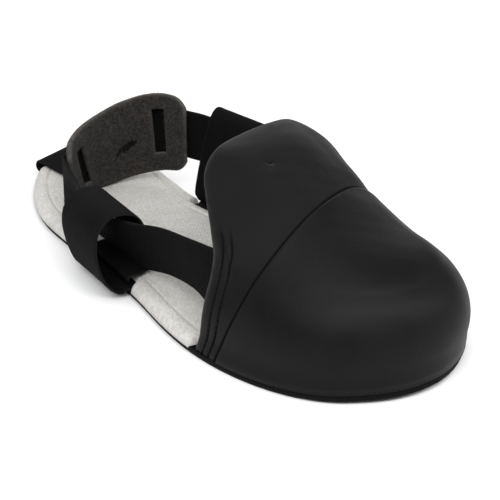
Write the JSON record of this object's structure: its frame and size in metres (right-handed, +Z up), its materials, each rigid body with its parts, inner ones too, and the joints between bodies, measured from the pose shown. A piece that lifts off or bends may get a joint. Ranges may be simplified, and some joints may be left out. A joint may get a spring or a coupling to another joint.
{
  "type": "safety toe overshoe",
  "caption": "Slip-on overshoe with a hard rounded toe cover on a flat ribbed sole, a webbing ankle band run through side loops and a felt heel pad with a heel tab.",
  "frame": {"origin": "on the ground, on the flat underside of the sole, midway along the foot", "axes": "+X towards the toe, +Y towards the wearer's other foot (medial), +Z up from the ground"},
  "size_m": [0.2941, 0.1169, 0.0828],
  "materials": {
    "rubber_black": "matte moulded rubber with low cross bars",
    "insole_cloth": "off-white plain woven cloth over a thin board",
    "upper_black": "satin coated leather-like sheet, very fine grain",
    "webbing_black": "close black webbing, matte",
    "felt_brown_grey": "thick heathered brown-grey felt"
  },
  "bodies": {
    "root": {"outsole": "rubber_black", "insole": "insole_cloth", "upper": "upper_black", "ankle_strap": "webbing_black", "side_loop_lateral": "webbing_black", "side_loop_medial": "webbing_black", "heel_pad": "felt_brown_grey", "heel_strap": "webbing_black"}
  },
  "joints": []
}
